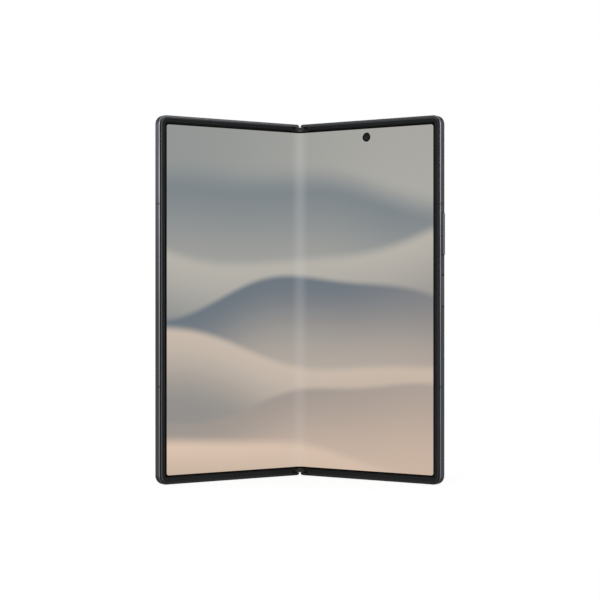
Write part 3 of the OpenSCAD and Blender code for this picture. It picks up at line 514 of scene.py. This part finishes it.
DUNES = [
    # base, waves (amount, frequency, phase), softness, depth of the slope, crest, foot
    (0.80, [(0.05, 1.7, 2.2), (0.015, 4.6, 0.4)], 0.05, 0.30, rgb(128, 136, 141), rgb(168, 167, 162)),
    (0.66, [(0.07, 1.9, 5.1), (0.018, 4.1, 1.9)], 0.02, 0.24, rgb(186, 182, 174), rgb(140, 143, 144)),
    (0.51, [(0.06, 2.3, 1.2), (0.016, 5.2, 3.1)], 0.012, 0.26, rgb(112, 121, 130), rgb(178, 170, 161)),
    (0.37, [(0.07, 1.6, 3.9), (0.014, 4.8, 5.0)], 0.015, 0.22, rgb(204, 190, 176), rgb(150, 147, 144)),
    (0.22, [(0.05, 2.0, 0.3), (0.012, 5.6, 2.2)], 0.012, 0.24, rgb(160, 152, 146), rgb(206, 184, 166)),
    (0.07, [(0.05, 1.8, 2.9), (0.010, 4.4, 0.9)], 0.02, 0.16, rgb(224, 200, 180), rgb(190, 170, 154)),
]


def screen_material(name):
    """Lit screen: soft dunes under a pale sky, drawn over the UV map, inside a black edge."""
    m = Maker(name)
    uv = m.node("ShaderNodeUVMap", uv_map="screen").outputs["UV"]
    s = m.line(m.part(uv, "X"), 2.0, -1.0)
    t = m.part(uv, "Y")

    sky_low = m.mix(m.smooth(s, -1.0, 0.6), rgb(146, 152, 152), rgb(180, 178, 172))
    sky_high = m.mix(m.smooth(s, -1.0, 0.8), rgb(150, 153, 151), rgb(172, 171, 166))
    colour = m.mix(m.smooth(t, 0.6, 0.98), sky_low, sky_high)
    for base, waves, soft, slope, crest, foot in DUNES:
        outline = base
        for amount, frequency, phase in waves:
            wave = m.times(m.math("SINE", m.line(s, frequency, phase)), amount)
            outline = m.math("ADD", wave, outline)
        below = m.math("SUBTRACT", outline, t)
        shade = m.mix(m.smooth(below, 0.0, slope), crest, foot)
        colour = m.mix(m.smooth(below, -soft, soft), colour, shade)
    warm = m.smooth(m.line(s, 0.35, m.times(t, -1.0)), -0.55, 0.25)
    colour = m.mix(m.times(warm, 0.4), colour, rgb(206, 184, 168))

    # faint sheen along the bend
    bend = m.flip(m.smooth(m.math("ABSOLUTE", s), 0.0, 0.075))
    colour = m.mix(m.times(bend, m.line(t, 0.07, 0.06)), colour, rgb(240, 240, 240))

    # black edge round the lit area, whose corners are rounded, and black ring round the camera
    x = m.times(s, HALF_W)
    z = m.line(t, HEIGHT, -MID)
    side_in = m.math("MINIMUM", m.math("SUBTRACT", LIT_RIGHT, x), m.math("ADD", x, LIT_LEFT))
    end_in = m.math("SUBTRACT", LIT_END, m.math("ABSOLUTE", z))
    a, b = [m.math("MAXIMUM", m.math("SUBTRACT", LIT_CORNER_R, v), 0.0) for v in (side_in, end_in)]
    edge = m.smooth(m.length(a, b), LIT_CORNER_R - 0.07 * MM, LIT_CORNER_R + 0.07 * MM)
    ring_z = INNER_CAMERA_W - MID - 0.16 * MM
    from_camera = m.length(m.math("SUBTRACT", x, INNER_CAMERA_U), m.math("SUBTRACT", z, ring_z))
    ring = m.flip(m.smooth(from_camera, INNER_CAMERA_R, INNER_CAMERA_R + 0.08 * MM))
    lit = m.mix(m.math("MAXIMUM", edge, ring), colour, BLACK)
    # past the black edge, hidden under the trim except at the hinge, the border is dark grey with a
    # painted highlight at the middle of the bend
    outer = m.smooth(m.math("ABSOLUTE", z), LIT_END + 0.62 * MM, LIT_END + 0.76 * MM)
    border_and_highlight = m.mix(m.smooth(m.math("ABSOLUTE", s), 0.0, 0.035), rgb(70, 70, 72), rgb(40, 40, 42))
    m.set(color=m.mix(outer, BLACK, border_and_highlight), rough=m.line(m.noise(m.coords(), 3000, 2), 0.05, 0.2),
          spec=0.01, glow=lit, glow_power=0.95)
    return m.mat


# Tones of the frames: walls, outer facet and inner facet of the bevel. The share of each that is left
# low on the phone is painted shade, and the left half's brighter tones are painted light.
RIGHT_TONES = (((0.026, 0.0265, 0.033), 0.85), ((0.14, 0.142, 0.162), 0.4), ((0.385, 0.388, 0.42), 0.66))
LEFT_TONES = (((0.080, 0.0805, 0.100), 0.2), ((0.30, 0.302, 0.34), 0.25), ((0.62, 0.622, 0.675), 0.38))
VOLUME_TONES = (((0.084, 0.086, 0.1), 0.8), ((0.10, 0.102, 0.115), 0.8), ((0.12, 0.122, 0.135), 0.8))
POWER_TONES = (((0.05, 0.051, 0.061), 0.8), ((0.08, 0.082, 0.095), 0.8), ((0.12, 0.122, 0.135), 0.8))
DECK_TONES = (((0.05, 0.051, 0.055), 0.9),) * 3
LEFT_BEVEL_END = 0.31 * MM


def band_tones(tones):
    """Tones of the plastic bands, darker than the frame round them."""
    return [(tinted(colour, 0.62), low) for colour, low in tones]


INNER_CAMERA = half_point(INNER_CAMERA_U, 0, INNER_CAMERA_W - 0.1 * MM)
REAR_CAMERAS = [half_point(REAR_CAMERA_U, HALF_T, HEIGHT - REAR_CAMERA_TOP - k * REAR_CAMERA_STEP)
                for k in range(3)]
COVER_CAMERA = Vector((-1, 1, 1)) * half_point(COVER_CAMERA_U, HALF_T, COVER_CAMERA_W)
COIL = half_point(COIL_U, COIL_D, COIL_W)
FLASH = half_point(FLASH_U, HALF_T, FLASH_W)

SCREEN_MATERIAL = screen_material("screen")
CABLE_MATERIAL = flex_material("flex")

# Each look: its material and the CAD nodes that have it
LOOKS = [
    (frame_metal("frame_right", "right", *RIGHT_TONES), ["frame_right"]),
    # painted light and shade: the left frame has brighter tones, more painted shade beside the hinge and
    # painted shade near the top
    (frame_metal("frame_left", "left", *LEFT_TONES, bevel_end=LEFT_BEVEL_END, hinge_shade=0.45,
                 top_shade=0.3, corner_dull=(0.01, 0.12)), ["frame_left", "card_tray"]),
    (frame_metal("bands_right", "right", *band_tones(RIGHT_TONES)), ["bands_right"]),
    (frame_metal("bands_left", "left", *band_tones(LEFT_TONES), bevel_end=LEFT_BEVEL_END),
     ["bands_left"]),
    (frame_metal("volume_key", "right", *VOLUME_TONES), ["volume_key"]),
    (frame_metal("power_key", "right", *POWER_TONES), ["power_key"]),
    (frame_metal("deck", "right", *DECK_TONES), ["camera_deck"]),
    # painted light: the left trim's ridge is painted lighter than the right trim's
    (trim_plastic("trim_right", "right", rgb(42, 43, 45)), ["bezel_right"]),
    (trim_plastic("trim_left", "left", rgb(66, 67, 70)), ["bezel_left"]),
    (plastic("cap", rgb(34, 35, 37), 0.46), ["spine_caps"]),
    (plain_metal("spine", (0.055, 0.057, 0.061), 0.36, metal=0.9, stretch=(1, 1, 0.3), scale=3000),
     ["spine_cover"]),
    (back_glass_material("back_glass", rgb(42, 43, 46)), ["rear_glass"]),
    (cover_glass_material("cover_glass", COVER_CAMERA), ["cover_glass"]),
    (plastic("cover_screen", rgb(14, 14, 16), 0.2, spec=0.5, grain=9000, bump=0.1, coat=0.4),
     ["cover_display"]),
    (plain_metal("ring", (0.13, 0.132, 0.14), 0.26, stretch=(1, 1, 1), scale=2400), ["lens_rings"]),
    (barrels_material("lens", REAR_CAMERAS, rough=0.03, ring_rough=0.06, spec=0.12), ["lens_glasses"]),
    (barrels_material("barrels", REAR_CAMERAS, rough=0.12, ring_rough=0.42, spec=0.06),
     ["camera_modules"]),
    (camera_window("inner_camera", INNER_CAMERA, glass_r=1.3 * MM), ["inner_camera"]),
    (rings_material("flash", (0.7, 0.66, 0.5), FLASH, pitch=0.5 * MM, metal=0.0, rough=0.18, coat=0.6,
                    coat_rough=0.05), ["flash_lens"]),
    (rings_material("coil", (0.5, 0.24, 0.1), COIL, pitch=0.4 * MM, metal=0.8, rough=0.3),
     ["charging_coil"]),
    (plastic("black", rgb(16, 16, 17), 0.4, spec=0.3, coat=0.2),
     ["cover_camera", "usb_tongue", "loudspeaker", "earpiece"]),
    (plain_metal("steel", (0.42, 0.43, 0.45)),
     ["hinge_blocks", "gear_block", "friction_clips", "arms_right", "arms_left", "support_plate_right",
      "support_plate_left", "board_shields", "vibration_motor", "key_switches", "card_reader"]),
    (plain_metal("port_steel", (0.12, 0.122, 0.126), 0.3), ["usb_shell"]),
    (plain_metal("screw", (0.2, 0.205, 0.215), 0.4, stretch=(1, 1, 1)),
     ["block_screws", "arm_screws_right", "arm_screws_left"]),
    (plain_metal("gear_steel", (0.36, 0.37, 0.39), 0.3, stretch=(6, 6, 1)),
     ["idler_right", "idler_left"]),
    (plain_metal("gear_bronze", (0.55, 0.36, 0.12), 0.3, stretch=(6, 6, 1)),
     ["pinion_right", "pinion_left"]),
    (foil_material("cell", rgb(34, 35, 38)), ["battery_right", "battery_left"]),
    (board_material("board"), ["main_board", "sub_board"]),
    (SCREEN_MATERIAL, ["display_right", "display_left", "display_fold"]),
    (CABLE_MATERIAL, ["hinge_flex"]),
]
for material, names in LOOKS:
    for name in names:
        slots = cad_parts[name].data.materials
        slots.clear()
        slots.append(material)


def mesh_object(name, bm, material):
    me = bpy.data.meshes.new(name)
    bm.to_mesh(me)
    bm.free()
    obj = bpy.data.objects.new(name, me)
    bpy.context.scene.collection.objects.link(obj)
    obj.data.materials.append(material)
    return obj


# Folding screen, two blended halves
NO_HOLE = ((0, 0, 0, 0), (0, 0, 0))


def shell(columns, rows, point, uv_of, hole):
    """Closed sheet over a grid of u and w; the hole is a block of cells and a circle in it."""
    bm = bmesh.new()
    uv_layer = bm.loops.layers.uv.new("screen")
    (i0, i1, j0, j1), (hole_u, hole_w, hole_r) = hole
    verts, flat = {}, {}

    def vert(key, u, w):
        """Vertex of a key that starts with its side, 0 for the front and 1 for the back."""
        if key not in verts:
            verts[key] = bm.verts.new(point(u, w, key[0]))
            flat[verts[key]] = (u, w)
        return verts[key]

    def add_face(corners, side):
        bm.faces.new(corners if side == 0 else corners[::-1])

    # grid points round the block, in order
    ring = [(i, j0) for i in range(i0, i1)] + [(i1, j) for j in range(j0, j1)] \
        + [(i, j1) for i in range(i1, i0, -1)] + [(i0, j) for j in range(j1, j0, -1)]
    for side in (0, 1):
        for i in range(len(columns) - 1):
            for j in range(len(rows) - 1):
                if not (i0 <= i < i1 and j0 <= j < j1):
                    quad = [(i, j), (i + 1, j), (i + 1, j + 1), (i, j + 1)]
                    add_face([vert((side, *p), columns[p[0]], rows[p[1]]) for p in quad], side)
        for pair in zip(ring, ring[1:] + ring[:1]):
            outer = [vert((side, *p), columns[p[0]], rows[p[1]]) for p in pair]
            inner = []
            for p in pair:
                turn = math.atan2(rows[p[1]] - hole_w, columns[p[0]] - hole_u)
                inner.append(vert((side, "circle", p), hole_u + hole_r * math.cos(turn),
                                  hole_w + hole_r * math.sin(turn)))
            add_face(outer + inner[::-1], side)

    # rims between the front and the back
    twin = {v: verts[(1 - key[0], *key[1:])] for key, v in verts.items()}
    front = {v for key, v in verts.items() if key[0] == 0}
    for e in [e for e in bm.edges if len(e.link_faces) == 1]:
        a, b = e.verts
        if a in front:
            bm.faces.new([b, a, twin[a], twin[b]])
    bmesh.ops.recalc_face_normals(bm, faces=bm.faces)
    for f in bm.faces:
        for loop in f.loops:
            loop[uv_layer].uv = uv_of(*flat[loop.vert])
    return bm


def screen_half(side):
    """The screen of one half, out to its edge under the trim and in to the hinge line.

    Its grid is fine over the bend and in a square block round the camera.
    """
    sign = 1 if side == "right" else -1
    fold_steps, cells, block = 18, 12, 5 * MM
    columns = [k / fold_steps * FLAT_START for k in range(fold_steps)] + [FLAT_START, 12 * MM, 24 * MM]
    rows = [SCREEN_IN, 20 * MM, 50 * MM, 80 * MM, 110 * MM]
    hole = NO_HOLE
    if side == "right":
        i, j = len(columns), len(rows)
        hole = ((i, i + cells, j, j + cells), (INNER_CAMERA_U, INNER_CAMERA_W, INNER_CAMERA_R))
        columns += [INNER_CAMERA_U - block / 2 + block * k / cells for k in range(cells + 1)]
        rows += [INNER_CAMERA_W - block / 2 + block * k / cells for k in range(cells + 1)]
    columns += [45 * MM, 56 * MM, HALF_W - SCREEN_IN]
    rows += [HEIGHT - SCREEN_IN]

    def point(u, w, back):
        d = SCREEN_BACK if back else SCREEN_FRONT
        p = fold_point(u / FLAT_START, d, w) if u < FLAT_START - 1e-9 else half_point(u, d, w)
        return Vector((sign * p.x, p.y, p.z))

    def uv_of(u, w):
        return (0.5 + sign * u / (2 * HALF_W), w / HEIGHT)

    sheet = shell(columns, rows, point, uv_of, hole)
    obj = mesh_object("screen_" + side, sheet, SCREEN_MATERIAL)
    fold_x = half_point(FLAT_START, SCREEN_BACK, 0)[0]
    for p in obj.data.polygons:
        p.use_smooth = abs(p.center.x) < fold_x and abs(p.normal.z) < 0.5
    y = fold_point(0, SCREEN_FRONT, 0)[1]
    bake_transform(obj)
    return obj


# Ribbon cable, two blended halves
def cable_half(side):
    """The cable of one half, along its screen and then in a curve down to the hinge line."""
    sign = 1 if side == "right" else -1
    entry = half_point(FLAT_START, CABLE_D, 0)
    lead = entry + Vector((-COS, SIN, 0)) * CABLE_LEAD
    dip = SHIFT_Y + AXIS_D + CABLE_DIP
    curve = [entry, lead, Vector((CABLE_LEVEL, dip, 0)), Vector((0, dip, 0))]
    flat_steps, curve_steps = 5, 12
    pitch = (CABLE_END - FLAT_START) / flat_steps
    path = [half_point(CABLE_END - i * pitch, CABLE_D, 0) for i in range(flat_steps)]
    for i in range(curve_steps + 1):
        t = i / curve_steps
        s = 1 - t
        weights = (s ** 3, 3 * t * s ** 2, 3 * t * t * s, t ** 3)
        path.append(sum((k * c for k, c in zip(weights, curve)), Vector((0, 0, 0))))
    bm = bmesh.new()
    rings = []
    for i, q in enumerate(path):
        step = (path[min(i + 1, len(path) - 1)] - path[max(i - 1, 0)]).normalized()
        across = Vector((-step.y, step.x, 0)) * CABLE_T / 2
        corners = [(q + across, CABLE_LOW), (q + across, CABLE_HIGH), (q - across, CABLE_HIGH),
                   (q - across, CABLE_LOW)]
        rings.append([bm.verts.new((sign * v.x, v.y, w)) for v, w in corners])
    for a, b in zip(rings, rings[1:]):
        for k in range(4):
            bm.faces.new([a[k], a[(k + 1) % 4], b[(k + 1) % 4], b[k]])
    bm.faces.new(rings[0])
    bm.faces.new(rings[-1][::-1])
    bmesh.ops.recalc_face_normals(bm, faces=bm.faces)
    obj = mesh_object("cable_" + side, bm, CABLE_MATERIAL)
    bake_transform(obj)
    return obj


screen_right = screen_half("right")
screen_left = screen_half("left")
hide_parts("display_right")
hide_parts("display_left", "display_fold")
cable_right = cable_half("right")
cable_half("left")
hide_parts("hinge_flex")


# Floor, world and lights
WHITE = (1, 1, 1, 1)
FILL_STRENGTH = 0.55


def seen(tree):
    """1 for a ray from the camera, in a reflection or through glass, and 0 for the rest."""
    path = tree.nodes.new("ShaderNodeLightPath")
    share = path.outputs["Is Camera Ray"]
    for ray in ("Is Glossy Ray", "Is Transmission Ray"):
        either = tree.nodes.new("ShaderNodeMath")
        either.operation = "MAXIMUM"
        tree.links.new(share, either.inputs[0])
        tree.links.new(path.outputs[ray], either.inputs[1])
        share = either.outputs[0]
    return share


def floor_material():
    """White to the camera and in reflections, and it keeps a faint shadow near the object."""
    m = Maker("floor")
    m.tree.nodes.remove(m.shader)
    diffuse = m.node("ShaderNodeBsdfDiffuse")
    m.put((0.9, 0.9, 0.9), diffuse.inputs["Color"])
    glow = m.node("ShaderNodeEmission")
    m.put(1.0, glow.inputs["Strength"])
    glow.inputs["Color"].default_value = WHITE
    far = m.smooth(m.vector("LENGTH", m.coords()), 0.10, 0.45)
    mix = m.node("ShaderNodeMixShader")
    m.put(m.times(seen(m.tree), m.line(far, 0.12, 0.88)), mix.inputs[0])
    m.put(diffuse.outputs[0], mix.inputs[1])
    m.put(glow.outputs[0], mix.inputs[2])
    m.put(mix.outputs[0], m.out.inputs["Surface"])
    return m.mat


grid = bmesh.new()
bmesh.ops.create_grid(grid, x_segments=8, y_segments=8, size=12)
floor = mesh_object("floor", grid, floor_material())
floor.location = (0, 0, -0.02 * MM)

world = bpy.data.worlds.new("world")
bpy.context.scene.world = world
world.use_nodes = True
tree = world.node_tree
tree.nodes.clear()
mix = tree.nodes.new("ShaderNodeMixShader")
tree.links.new(seen(tree), mix.inputs[0])
for strength, socket in ((FILL_STRENGTH, mix.inputs[1]), (1.0, mix.inputs[2])):
    background = tree.nodes.new("ShaderNodeBackground")
    background.inputs["Color"].default_value = WHITE
    background.inputs["Strength"].default_value = strength
    tree.links.new(background.outputs[0], socket)
tree.links.new(mix.outputs[0], tree.nodes.new("ShaderNodeOutputWorld").inputs["Surface"])

AIM = Vector((0, 0, 0.08))
SOFTBOXES = [
    # name, place, side in metres, power in watts
    ("key", (-0.9, -0.9, 0.9), 0.7, 9),
    ("fill", (1.0, -0.8, 0.6), 0.8, 5),
    ("top", (0, 0.1, 1.2), 0.9, 7),
    ("rear", (0.3, 1.1, 0.7), 0.8, 5),
]
for name, place, size, power in SOFTBOXES:
    light = bpy.data.lights.new(name, "AREA")
    light.shape = "RECTANGLE"
    light.size = light.size_y = size
    light.energy = power
    softbox = bpy.data.objects.new(name, light)
    bpy.context.scene.collection.objects.link(softbox)
    softbox.location = place
    softbox.rotation_euler = (AIM - Vector(place)).to_track_quat("-Z", "Y").to_euler()

bpy.context.scene.view_settings.view_transform = "Standard"
